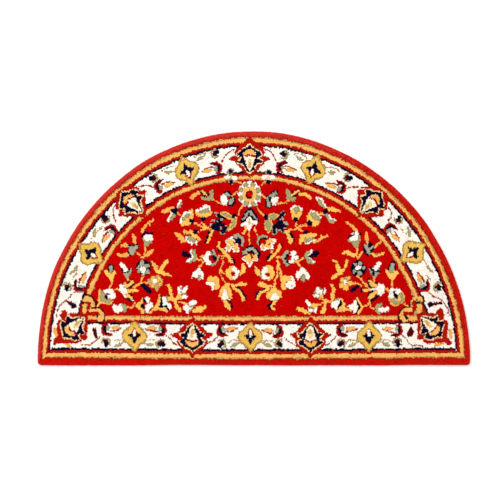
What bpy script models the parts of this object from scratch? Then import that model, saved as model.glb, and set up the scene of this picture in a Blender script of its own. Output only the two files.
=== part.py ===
"""A half-round hearth rug: one hand-tufted wool mat, lying flat.

The straight edge lies along the hearth, on the -Y side, and the rounded edge reaches into the
room on the +Y side. The origin is on the floor, under the middle of the rug. Units are metres.
"""

from math import pi

import bmesh
import bpy
import numpy as np

# Driving dimensions
WIDTH = 1.118  # along the straight edge
DEPTH = 0.606  # from the straight edge to the top of the curve
THICKNESS = 0.013  # backing and pile together
STRAIGHT_SIDE = 0.0165  # the sides run square to the straight edge for this far, then curve
CORNER_RADIUS = 0.010  # the two corners at the ends of the straight edge
LEAN = 0.006  # the top of the curve lies this far to the left of the middle
HAND_WANDER = 0.0009  # a hand-cut edge strays this far from the true line

# The slow waves in the hand-cut edge
HAND_WAVES = (
    # waves round the outline, share of the wander, phase
    (7, 0.50, 0.4),
    (13, 0.30, 1.9),
    (22, 0.20, 0.7),
)

# How far the outline is divided
CURVE_STEPS = 120
CORNER_STEPS = 4
STRAIGHT_STEPS = 44

# The edge of the mat, from the floor up: how far in from the outline, and how high
EDGE_PROFILE = (
    # inset, height
    (0.0016, 0.0000),
    (0.0008, 0.0022),
    (0.0000, 0.0058),
    (0.0006, 0.0088),
    (0.0022, 0.0111),
    (0.0048, 0.0125),
    (0.0082, THICKNESS),
)

WOOL_RED = (0.53, 0.012, 0.006, 1.0)
WOOL_ROUGHNESS = 0.95
SHARP_EDGE = pi / 5  # faces that meet at more than this angle keep a crisp edge


def clear_scene():
    for old in list(bpy.data.objects):
        bpy.data.objects.remove(old)


def curved_edge():
    """The half ellipse of the rounded edge, from the right side over the top to the left."""
    half_width = WIDTH / 2
    rise = DEPTH - STRAIGHT_SIDE
    angles = np.linspace(0.0, pi, CURVE_STEPS + 1)
    return np.column_stack([half_width * np.cos(angles), STRAIGHT_SIDE + rise * np.sin(angles)])


def corner(centre_x, start_angle):
    """A quarter circle at one end of the straight edge, run anticlockwise."""
    angles = start_angle + np.linspace(0.0, pi / 2, CORNER_STEPS + 1)
    x = centre_x + CORNER_RADIUS * np.cos(angles)
    y = CORNER_RADIUS + CORNER_RADIUS * np.sin(angles)
    return np.column_stack([x, y])


def straight_edge():
    """The points between the two corners, from left to right."""
    reach = WIDTH / 2 - CORNER_RADIUS
    x = np.linspace(-reach, reach, STRAIGHT_STEPS + 1)[1:-1]
    return np.column_stack([x, np.zeros(len(x))])


def outward(points):
    """The unit normal at each point of a closed outline that runs anticlockwise."""
    along = np.roll(points, -1, axis=0) - np.roll(points, 1, axis=0)
    normal = np.column_stack([along[:, 1], -along[:, 0]])
    return normal / np.linalg.norm(normal, axis=1)[:, None]


def wander(points):
    """How far a hand-cut edge strays at each point: the sum of the slow waves."""
    turn = np.linspace(0.0, 2 * pi, len(points), endpoint=False)
    return HAND_WANDER * sum(share * np.sin(waves * turn + phase) for waves, share, phase in HAND_WAVES)


def rug_outline():
    """The closed outline, anticlockwise, with its box centred on the origin."""
    centre = WIDTH / 2 - CORNER_RADIUS
    points = np.vstack([curved_edge(), corner(-centre, pi), straight_edge(), corner(centre, -pi / 2)])
    points = points + outward(points) * wander(points)[:, None]
    points[:, 0] -= LEAN * points[:, 1] / DEPTH
    return points - (points.min(axis=0) + points.max(axis=0)) / 2


def rug_mesh():
    """Rings of the outline, one for each step of the edge profile, closed above and below."""
    outline = rug_outline()
    normal = outward(outline)
    mesh = bmesh.new()
    rings = []
    for inset, height in EDGE_PROFILE:
        ring = outline - normal * inset
        rings.append([mesh.verts.new((x, y, height)) for x, y in ring])
    count = len(outline)
    for lower, upper in zip(rings, rings[1:]):
        for i in range(count):
            j = (i + 1) % count
            mesh.faces.new((lower[i], lower[j], upper[j], upper[i]))
    mesh.faces.new(reversed(rings[0]))
    mesh.faces.new(rings[-1])
    made = bpy.data.meshes.new("rug")
    mesh.to_mesh(made)
    mesh.free()
    return made


def wool():
    material = bpy.data.materials.new("red_wool")
    material.use_nodes = True
    shader = material.node_tree.nodes["Principled BSDF"]
    shader.inputs["Base Color"].default_value = WOOL_RED
    shader.inputs["Roughness"].default_value = WOOL_ROUGHNESS
    shader.inputs["Metallic"].default_value = 0.0
    return material


def build_rug():
    mesh = rug_mesh()
    mesh.materials.append(wool())
    mesh.shade_smooth()
    mesh.set_sharp_from_angle(angle=SHARP_EDGE)
    rug = bpy.data.objects.new("rug", mesh)
    bpy.context.scene.collection.objects.link(rug)
    return rug


clear_scene()
build_rug()
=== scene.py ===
"""The looks of a half-round hearth rug: cut wool pile over a backing cloth, in one shared frame.

The pile is made of single tufts, each a closed bud of yarn. A chart in millimetres gives the yarn
of every tuft: the bands that follow the edge, the flowers of the border, and the sprays of the
field. Lengths are metres, except in the chart.
"""

from math import pi

import bpy
import numpy as np
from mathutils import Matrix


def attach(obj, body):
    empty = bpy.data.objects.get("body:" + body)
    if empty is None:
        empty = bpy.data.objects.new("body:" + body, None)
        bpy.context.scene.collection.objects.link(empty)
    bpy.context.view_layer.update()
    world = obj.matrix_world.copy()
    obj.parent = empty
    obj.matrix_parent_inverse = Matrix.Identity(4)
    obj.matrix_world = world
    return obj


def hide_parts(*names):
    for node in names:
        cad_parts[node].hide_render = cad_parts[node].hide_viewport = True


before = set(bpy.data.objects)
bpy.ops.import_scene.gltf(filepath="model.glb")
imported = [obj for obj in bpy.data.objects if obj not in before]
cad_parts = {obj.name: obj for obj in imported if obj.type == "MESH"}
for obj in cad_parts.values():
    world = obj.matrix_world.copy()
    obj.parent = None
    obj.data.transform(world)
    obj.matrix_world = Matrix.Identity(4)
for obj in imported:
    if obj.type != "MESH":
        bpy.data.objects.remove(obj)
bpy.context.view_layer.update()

MM = 0.001
TINY = 1e-9  # keeps a division away from nought

# The rug's outline, from the same sizes as the solid
WIDTH = 1.118
DEPTH = 0.606
THICKNESS = 0.013
STRAIGHT_SIDE = 0.0165
CORNER_RADIUS = 0.010
LEAN = 0.006
HAND_WANDER = 0.0009
HAND_WAVES = (
    # waves round the outline, share of the wander, phase
    (7, 0.50, 0.4),
    (13, 0.30, 1.9),
    (22, 0.20, 0.7),
)
CURVE_STEPS = 120
CORNER_STEPS = 4
STRAIGHT_STEPS = 44

# The edge of the pile, from its top down to the backing
EDGE_PROFILE = (
    # inset, height
    (0.0082, THICKNESS),
    (0.0048, 0.0125),
    (0.0022, 0.0111),
    (0.0006, 0.0088),
    (0.0000, 0.0058),
    (0.0008, 0.0022),
)
PROFILE_STEP = 0.001  # the profile's slope is read over this length

# Tufts
TUFT_PITCH = 0.00295  # from one tuft to the next
TUFT_STRAY = 0.00036  # a tuft stands this far off its place
GRID_MARGIN = 0.012  # the grid of tufts runs on this far past the outline, to roll over the edge
TUFT_BLOOM = 0.70  # the opened yarn's radius, in pitches
BLOOM_SHARES = (0.86, 1.14)  # the least and the most of that radius at a corner
TUFT_SIDES = 6
TUFT_DROP = 0.0017  # the tip stands this far above the widest part
DROP_SHARES = (0.8, 1.2)  # the least and the most of that drop at a corner
TUFT_LENGTH = 0.0098
TUFT_LEAN = 0.10  # how far a tuft leans over, in its own length
TIP_RISE = 0.0004  # how unevenly the tips are sheared
LOWEST_TIP, HIGHEST_TIP = -2.0, 0.5  # how far off a tip may be, in rises; the highest reach the top
ROOT_SHARE = 0.6  # a tuft's foot stays above this share of the backing's thickness
SKEW = (0.3, 0.1, 0.2)  # any direction that isn't along a tuft
LOTS = 16  # the tufts are measured in this many lots, which saves memory
MAP_RING, MAP_POINT = 0.31, 0.47  # the tuft's ring and foot on its square of the yarn map

# Painted shade on a tuft, multiplied into its colour: darker from its tip down to its foot, and beside
# lighter yarns
TIP_LIGHT, RING_LIGHT, FOOT_LIGHT = 1.0, 0.93, 0.55
GROOVE_SHADE = 0.6  # how much darker a yarn looks between lighter ones
LIGHTER = 0.12  # a yarn this much lighter than its neighbour shades it

# The unevenness of the dye
DYE_PATCHES = (
    # share, shortest and longest wave in millimetres
    (0.035, 18, 60),
    (0.020, 70, 260),
)
DYE_CHANCE = 0.05  # and this share from tuft to tuft

# The hand that tufted the chart, in millimetres
CHART_STRAY = 0.8  # a drawn line wanders this far
CHART_WAVES = (14, 40)  # over these lengths
ROW_STRAY = 0.55  # and this far from tuft to tuft
ROW_WAVES = (5, 10)
FIELD_SPLIT = -31.0  # the field is two pieces that meet along this line

# Every draw by chance comes from here, in the order of the script
SEED = 20
chance = np.random.default_rng(SEED)

# The backing
BACKING_THICKNESS = 0.0026
BACKING_INSET = 0.0030


def curved_edge():
    """The half ellipse of the rounded edge, from the right side over the top to the left."""
    half_width = WIDTH / 2
    rise = DEPTH - STRAIGHT_SIDE
    angles = np.linspace(0.0, pi, CURVE_STEPS + 1)
    return np.column_stack([half_width * np.cos(angles), STRAIGHT_SIDE + rise * np.sin(angles)])


def corner(centre_x, start_angle):
    """A quarter circle at one end of the straight edge, run anticlockwise."""
    angles = start_angle + np.linspace(0.0, pi / 2, CORNER_STEPS + 1)
    x = centre_x + CORNER_RADIUS * np.cos(angles)
    y = CORNER_RADIUS + CORNER_RADIUS * np.sin(angles)
    return np.column_stack([x, y])


def straight_edge():
    """The points between the two corners, from left to right."""
    reach = WIDTH / 2 - CORNER_RADIUS
    x = np.linspace(-reach, reach, STRAIGHT_STEPS + 1)[1:-1]
    return np.column_stack([x, np.zeros(len(x))])


def outward(points):
    """The unit normal at each point of a closed outline that runs anticlockwise."""
    along = np.roll(points, -1, axis=0) - np.roll(points, 1, axis=0)
    normal = np.column_stack([along[:, 1], -along[:, 0]])
    return normal / np.linalg.norm(normal, axis=1)[:, None]


def wander(points):
    """How far a hand-cut edge strays at each point: the sum of the slow waves."""
    turn = np.linspace(0.0, 2 * pi, len(points), endpoint=False)
    return HAND_WANDER * sum(share * np.sin(waves * turn + phase) for waves, share, phase in HAND_WAVES)


def rug_outline():
    """The closed outline, anticlockwise, with its box centred on the origin."""
    centre = WIDTH / 2 - CORNER_RADIUS
    points = np.vstack([curved_edge(), corner(-centre, pi), straight_edge(), corner(centre, -pi / 2)])
    points = points + outward(points) * wander(points)[:, None]
    points[:, 0] -= LEAN * points[:, 1] / DEPTH
    return points - (points.min(axis=0) + points.max(axis=0)) / 2


# Shapes of the chart
# Each gives about how far every place lies outside the shape's edge, below zero inside it.
LEAF_FULLNESS = 0.7  # below one, a leaf is fuller than half a sine wave


def turned(x, y, degrees):
    """Places seen from a frame that is turned anticlockwise by so many degrees."""
    a = np.radians(degrees)
    return x * np.cos(a) + y * np.sin(a), y * np.cos(a) - x * np.sin(a)


def from_run(x, y, ends):
    """The way to a run of straight stretches: to the nearest place on each, and the least of these."""
    start, step = ends[:-1], np.diff(ends, axis=0)
    away_x = x[:, None] - start[:, 0]
    away_y = y[:, None] - start[:, 1]
    share = (away_x * step[:, 0] + away_y * step[:, 1]) / (step ** 2).sum(axis=1)
    share = np.clip(share, 0, 1)
    return np.hypot(away_x - share * step[:, 0], away_y - share * step[:, 1]).min(axis=1)


def oval(x, y, centre_x, centre_y, width, height, turn=0):
    """An ellipse: the radius scaled by its half sizes, less one, over the slope of that radius."""
    u, v = turned(x - centre_x, y - centre_y, turn)
    near = np.hypot(u / (width / 2), v / (height / 2))
    slope = np.hypot(u / (width / 2) ** 2, v / (height / 2) ** 2) + TINY
    return near * (near - 1) / slope


def line(x, y, width, *places):
    """A stroke through the places: the way to their run, less half its width."""
    return from_run(x, y, np.reshape(np.array(places, float), (-1, 2))) - width / 2


def drop(x, y, start_x, start_y, start_width, end_x, end_y, end_width):
    """A stroke that narrows along its way: the way to its run, less half the width at that share."""
    along_x, along_y = end_x - start_x, end_y - start_y
    share = ((x - start_x) * along_x + (y - start_y) * along_y) / (along_x ** 2 + along_y ** 2)
    share = np.clip(share, 0, 1)
    away = np.hypot(x - start_x - share * along_x, y - start_y - share * along_y)
    return away - (start_width + (end_width - start_width) * share) / 2


def leaf(x, y, start_x, start_y, end_x, end_y, width, bend=0):
    """A leaf from tip to tip: its bend swells as half a sine wave, and its half width as a power
    of that wave."""
    along_x, along_y = end_x - start_x, end_y - start_y
    length = np.hypot(along_x, along_y)
    share = ((x - start_x) * along_x + (y - start_y) * along_y) / length ** 2
    side = ((y - start_y) * along_x - (x - start_x) * along_y) / length
    swell = np.sin(pi * np.clip(share, 0, 1))
    past = np.maximum(np.maximum(-share, share - 1), 0) * length
    beside = np.abs(side - bend * swell) - width / 2 * swell ** LEAF_FULLNESS
    return np.where(past > 0, np.hypot(past, side), beside)


def figure(x, y, half):
    """A figure alike on both sides: the way to its outline, below zero where a ray crosses it oddly."""
    right = np.array(half, float)
    ends = np.vstack([right, right[-2:0:-1] * (-1, 1), right[:1]])
    (low_x, low_y), (high_x, high_y) = ends[:-1].T, ends[1:].T
    rise = np.where(high_y == low_y, 1, high_y - low_y)
    between = (low_y > y[:, None]) != (high_y > y[:, None])
    ahead = x[:, None] < low_x + (y[:, None] - low_y) * (high_x - low_x) / rise
    inside = np.logical_xor.reduce(between & ahead, axis=1)
    return from_run(x, y, ends) * np.where(inside, -1, 1)


# Yarns, as a screen shows them
YARNS = {
    "red": (197, 4, 2),
    # the rounded rim's red with painted sheen: lighter than the straight rim's red, as pile catching the
    # light
    "rim": (199, 50, 40),
    "base rim": (194, 23, 10),
    "brick": (182, 22, 8),
    "gold": (242, 186, 102),
    "ochre": (232, 189, 92),
    "amber": (251, 196, 97),
    "orange": (251, 179, 90),
    "pale gold": (252, 216, 164),
    "tan": (208, 164, 102),
    "olive": (200, 158, 84),
    "ivory": (251, 240, 229),
    "cream": (252, 238, 212),
    "navy": (16, 11, 42),
    "maroon": (88, 6, 16),
    "sage": (176, 166, 118),
    "grey": (172, 170, 144),
}
YARN_NAMES = list(YARNS)
FIELD_YARN = "red"
# In millimetres: a dark yarn's shape looks wider than it is charted, and a light one's narrower
SWELL = {"navy": 0.6, "ivory": -0.5, "gold": -0.3}
EDGE_LINE = 2.8  # a motif's edge of another yarn is one tuft wide


def screen_to_light(values):
    """A colour as a screen shows it, turned into the light that it stands for."""
    value = np.asarray(values, float) / 255
    return np.where(value <= 0.04045, value / 12.92, ((value + 0.055) / 1.055) ** 2.4)


# the yarns' colours as light, the rounded rim's with its painted sheen
DYES_WITH_RIM_SHEEN = screen_to_light(list(YARNS.values()))

# Bands along the rounded edge, from the edge inwards
BAND_ANGLES = (9, 22, 45, 90)  # degrees up from the straight edge
CURVE_BANDS = (
    # yarn, its width at each angle
    ("rim", 13.6, 14.7, 16.5, 17.2),
    ("tan", 2.3, 2.7, 2.9, 3.2),
    ("gold", 7.2, 7.0, 7.8, 9.0),
    ("brick", 6.0, 6.0, 6.6, 6.6),
    ("navy", 4.8, 4.6, 4.6, 4.8),
    ("ivory", 56.8, 57.5, 55.7, 64.4),
    ("navy", 4.4, 4.4, 4.6, 4.6),
    ("brick", 5.0, 6.0, 7.6, 7.0),
    ("gold", 8.8, 8.4, 7.0, 7.6),
    ("tan", 2.4, 2.4, 2.2, 2.2),
)
RIGHT_WIDER = (
    # a band's number and how much wider it is right of the pattern's middle line, at each angle
    (0, 2.7, 3.8, 2.4, 0.2),
    (2, 0.7, 0.7, -1.2, 0.2),
    (5, -0.8, -0.1, 3.7, -0.9),
    (7, 1.2, 1.6, 0.0, 0.2),
)
PATTERN_AXIS = -11.0  # the middle line lies left of the rug's own

# Bands along the straight edge
BASE_BANDS = (
    # yarn, width
    ("base rim", 18.5),
    ("tan", 2.7),
    ("gold", 9.4),
    ("brick", 7.2),
    ("navy", 5.8),
    ("ivory", 62.2),
    ("navy", 5.0),
    ("brick", 6.7),
    ("gold", 7.6),
    ("tan", 2.6),
)
BASE_RISE = 2.2  # these bands bend up this much
RISE_REACH = 380.0  # at this distance from the rug's middle
RISE_END = 1.15  # and no further beyond this many times that distance
RIM_STREAK = 4.5  # brick red is mixed into the rim this far from its gold line
RIM_DARKER = 0.65  # in this share of the tufts there
# towards the right the rounded rim's painted sheen gives way by chance to the straight rim's red
RED_FROM = 60.0  # from here to the right the rounded rim turns to the straight rim's red
RED_REACH = 330.0  # over this distance
RED_MOST = 0.9  # up to this share of its tufts
GOLD_LINE_BANDS = (1, 2)  # the first gold line and its tan edge
GOLD_KEPT = 7.0  # this width of the rounded gold line isn't crossed by the border's motifs
SIDES_FROM = 200.0  # where it lies this far from the rug's middle, or farther
IVORY_BAND = 5

# Big motifs of the border, pointing up
PALMETTE_FRAME = (
    (0, 55), (8, 46), (16, 39), (26, 32), (36, 23), (40, 13), (37, 5), (46, 1), (47, -6), (39, -12),
    (34, -19), (27, -26), (18, -35), (9, -45), (0, -53),
)
PALMETTE_PETALS = (
    (0, 33), (9, 25), (17, 20), (25, 16), (30, 10), (31, 6), (24, 3), (20, -2), (29, -8), (31, -12),
    (19, -15), (13, -23), (8, -32), (0, -38),
)
PALMETTE_HEART = (
    (0, 21), (8, 16), (16, 13), (17, 7), (14, 0), (12, -8), (9, -15), (7, -24), (4, -32), (0, -36),
)
PALMETTE_BACK = (
    (figure, "brick", PALMETTE_FRAME),
)
PALMETTE = (
    (figure, "navy/pale gold", PALMETTE_PETALS),
    (figure, "cream", PALMETTE_HEART),
    (leaf, "gold", -17, 10, 17, 10, 15, 4),
    (line, "brick", 4.4, -16, 6, -9, 4, -2, 8, 7, 6, 15, 4),
    (oval, "pale gold", 0, -15, 10, 24),
    (oval, "ochre", 0, -19, 6.5, 15),
)
PALMETTE_ARMS = (
    (leaf, "brick", 27, -4, 55, -5, 12),
    (leaf, "brick", -27, -4, -55, -5, 12),
)
STAR_EDGE = (
    (0, 41), (5, 34), (11, 28), (17, 21), (27, 15), (33, 4), (33, -6), (29, -14), (22, -20), (15, -24),
    (11, -31), (5, -38), (0, -42),
)
STAR_FACE = (
    (0, 36), (3, 30), (9, 24), (14, 18), (24, 12), (29.5, 4), (29.5, -5), (26, -12), (18, -17), (12, -21),
    (8, -29), (3, -34), (0, -37),
)
STAR_EYE = (
    (0, 20), (4, 12), (9, 3), (16, -4), (9, -7), (0, -8),
)
GOLD_STAR = (
    (figure, "olive", STAR_EDGE),
    (figure, "ochre", STAR_FACE),
    (figure, "brick", ((0, -24), (6, -16), (9, -6), (0, 2))),
    (figure, "navy", STAR_EYE),
    (oval, "ivory", 0, -9, 9, 20),
)
STAR_WINGS = (
    (leaf, "navy", 5, 0, 20, -2, 8),
    (leaf, "navy", -5, 0, -20, -2, 8),
)
CURVE_STARS = 4  # the first stars, which lie along the curve, have wings

# Small motifs of the border
RED_FLOWER = (
    # its leaf lies to the right
    (oval, "brick", -8, 1, 15, 25),
    (leaf, "brick", -13, 10, 16, 14, 11),
    (leaf, "brick", -13, -10, 5, -12, 9),
    (leaf, "maroon", -6, 10, 14, 13, 6),
    (oval, "navy", -5, 0, 8, 17),
    (oval, "grey", 2, -3, 9, 14),
    (line, "brick", 3.4, 8, 4, 20, 4, 31, 1, 39, -4),
    (leaf, "gold", 8, -4, 38, -5, 11),
)
BUD = (
    # its dark end points up
    (line, "sage", 4.5, -10, 4, -10, -6, -2, -11, 8, -9, 11, 0),
    (oval, "maroon", 0, -2, 15, 12),
    (oval, "navy", -1, 5, 12, 11),
)
SPRAY = (
    (line, "tan", 2.6, -18, 7, -6, 10, 6, 8, 16, 4),
    (leaf, "sage", -15, -5, 9, 0, 8.5),
    (line, "sage", 2.6, 6, 1, 16, 4),
)

PALMETTE_PLACES = (
    # x, y, turn, how far its petals lie above the frame's middle
    (-11, 235, 0, -1),
    (-316, 119, 45, 2),
    (304, 119, -45, 2),
    (-467, -205, 135, 1),
    (459, -204, -135, 1),
    (-159, -229, 180, 4),
    (146, -229, 180, 4),
)
ARM_PLACES = (
    (-11, 235, 0),
    (-159, -228, 180),
    (146, -228, 180),
)
STAR_PLACES = (
    (-173, 201, 20),
    (154, 204, -19),
    (-421, -13, 52),
    (411, -10, -52),
    (-308, -227, 180),
    (-9, -229, 180),
    (297, -228, 180),
)
SMALL_PLACES = (
    # motif, x, y, turn, 1 or -1 where it is turned over
    (RED_FLOWER, -97, 207, 8, -1),
    (BUD, -99, 245, -55, 1),
    (SPRAY, -137, 235, 24, 1),
    (RED_FLOWER, -243, 159, 22, 1),
    (BUD, -260, 182, 95, 1),
    (SPRAY, -221, 199, 14, -1),
    (RED_FLOWER, -367, 46, 45, -1),
    (BUD, -383, 76, 25, 1),
    (RED_FLOWER, -450, -98, 72, 1),
    (BUD, -482, -100, 160, 1),
    (RED_FLOWER, -379, -209, 180, -1),
    (BUD, -382, -243, 180, 1),
    (SPRAY, -348, -246, 8, 1),
    (RED_FLOWER, -240, -210, 180, 1),
    (BUD, -240, -246, -125, 1),
    (SPRAY, -271, -246, 8, -1),
    (RED_FLOWER, -82, -211, 180, -1),
    (BUD, -84, -247, 115, 1),
    (SPRAY, -48, -247, 8, 1),
    (RED_FLOWER, 72, 209, -8, 1),
    (BUD, 77, 242, 50, -1),
    (SPRAY, 116, 235, -24, -1),
    (RED_FLOWER, 223, 156, -22, -1),
    (BUD, 243, 183, -95, -1),
    (SPRAY, 206, 198, -14, 1),
    (RED_FLOWER, 350, 49, -45, 1),
    (BUD, 373, 75, -8, -1),
    (RED_FLOWER, 438, -98, -72, -1),
    (BUD, 475, -100, -128, -1),
    (RED_FLOWER, 369, -211, 180, 1),
    (BUD, 371, -243, -155, -1),
    (SPRAY, 339, -245, -10, -1),
    (RED_FLOWER, 227, -211, 180, -1),
    (BUD, 225, -246, 130, -1),
    (SPRAY, 256, -246, 12, 1),
    (RED_FLOWER, 61, -215, 180, 1),
    (BUD, 66, -246, -120, -1),
    (SPRAY, 33, -247, -8, -1),
)
BORDER_VINES = (
    (line, "brick", 2.8, -81, 222, -76, 238, -66, 246, -51, 256),
    (line, "brick", 3.0, -256, 158, -270, 161, -284, 163, -297, 160),
    (line, "brick", 3.0, -353, 113, -361, 105, -362, 90, -361, 80, -357, 69),
    (line, "brick", 2.8, -462, -112, -473, -124, -484, -132, -498, -146, -508, -160, -508, -178),
    (line, "brick", 3.2, -396, -227, -408, -238, -418, -246, -432, -250, -444, -249),
    (leaf, "maroon", -414, -202, -405, -233, 11),
    (line, "brick", 3.0, -228, -222, -217, -232, -208, -244, -199, -251),
    (line, "brick", 3.4, -92, -226, -104, -238, -116, -244, -126, -250),
    (leaf, "orange", -516, -204, -506, -234, 9),
    (leaf, "orange", -493, -242, -468, -256, 8),
    (leaf, "brick", -498, -226, -516, -249, 17),
    (leaf, "brick", -490, -180, -488, -156, 15),
    (leaf, "maroon", -484, -137, -460, -148, 11),
    (oval, "navy", -465, -149, 15, 14),
    (leaf, "sage", -411, 53, -411, 28, 9),
    (line, "tan", 2.6, -390, 62, -396, 48, -410, 36, -420, 24),
    (line, "sage", 6, -473, -63, -463, -58, -458, -47),
    (line, "tan", 2.6, -454, -45, -459, -66, -470, -80),
    # right half
    (line, "brick", 2.8, 27, 256, 42, 250, 50, 240, 56, 226),
    (line, "brick", 3.0, 238, 154, 250, 158, 264, 160, 275, 159, 284, 156),
    (line, "brick", 3.0, 342, 113, 350, 100, 356, 89, 353, 78, 345, 70),
    (line, "brick", 2.8, 452, -115, 466, -124, 480, -131, 492, -142, 500, -157, 503, -174),
    (line, "brick", 3.2, 382, -223, 392, -233, 400, -245, 413, -250, 438, -253),
    (leaf, "maroon", 409, -203, 398, -232, 17),
    (line, "brick", 3.0, 212, -226, 204, -236, 195, -244, 184, -252),
    (line, "brick", 3.4, 78, -231, 90, -240, 100, -247, 109, -253),
    (leaf, "orange", 506, -204, 508, -234, 10),
    (leaf, "orange", 490, -242, 464, -252, 10),
    (leaf, "brick", 490, -228, 508, -251, 17),
    (leaf, "brick", 480, -182, 480, -154, 16),
    (drop, "maroon", 453, -145, 14, 484, -141, 3),
    (oval, "navy", 456, -145, 10, 12),
    (leaf, "sage", 397, 56, 404, 28, 9),
    (line, "tan", 2.6, 378, 56, 384, 46, 394, 38),
    (line, "sage", 6, 446, -47, 452, -55, 461, -60),
    (line, "tan", 2.6, 437, -28, 444, -42),
    (line, "tan", 2.6, 445, -68, 454, -80),
)
TOP_KNOTS = (
    (oval, "grey", -61, 198, 18, 17),
    (oval, "ivory", -67, 183, 18, 12),
    (oval, "ivory", -50, 182, 16, 13),
    (oval, "gold", -58, 184, 5.5, 15),
    (oval, "navy", -60, 198, 12, 12),
    (oval, "grey", -59, 171, 15, 14),
    (oval, "navy", -59, 171, 11, 11),
    (line, "orange", 3.4, -52, 174, -43, 172, -33, 169),
    # right half
    (oval, "grey", 39, 195, 18, 17),
    (oval, "ivory", 27, 184, 18, 12),
    (oval, "ivory", 49, 184, 18, 12),
    (oval, "pale gold", 38, 182, 8, 14),
    (oval, "navy", 39, 195, 12, 12),
    (oval, "grey", 37, 171, 17, 14),
    (oval, "navy", 37, 171, 12, 11),
    (line, "orange", 3.4, 29, 174, 24, 168, 19, 163),
)
CORNER_SCROLLS = (
    (line, "maroon", 12, -438, -130, -430, -122, -419, -128, -411, -141, -411, -152),
    (line, "gold", 10.5, -437, -133, -430, -127, -421, -131, -415, -143, -415, -152),
    (oval, "brick", -425, -147, 9, 25, 8),
    (drop, "gold", -437, -147, 12, -436, -165, 7),
    (line, "maroon", 3.6, -443, -139, -433, -141),
    (line, "maroon", 12, -410, -156, -397, -158, -388, -168, -389, -179, -394, -188),
    (line, "gold", 10, -421, -160, -408, -159, -397, -161, -391, -171, -392, -181),
    (oval, "gold", -397, -183, 14, 13),
    (oval, "brick", -407, -166, 17, 7, 10),
    (oval, "sage", -405, -176, 7, 11),
    (oval, "navy", -405, -175, 4, 7),
    # right half
    (line, "maroon", 12, 436, -136, 432, -126, 420, -126, 408, -136, 405, -152),
    (line, "gold", 9.5, 434, -134, 428, -127, 418, -128, 409, -137, 406, -152),
    (oval, "brick", 413, -148, 12, 28),
    (drop, "gold", 427, -145, 15, 424, -164, 12),
    (line, "navy", 4, 420, -140, 432, -141),
    (line, "maroon", 13, 404, -158, 390, -157, 378, -166, 376, -178, 382, -188),
    (line, "gold", 10, 406, -159, 392, -158, 382, -166, 380, -178, 386, -186),
    (line, "gold", 10, 386, -185, 400, -181, 418, -181),
    (oval, "brick", 397, -166, 24, 8, -5),
    (line, "navy", 4, 388, -174, 396, -182),
    (oval, "sage", 417, -167, 8, 10),
)

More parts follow.
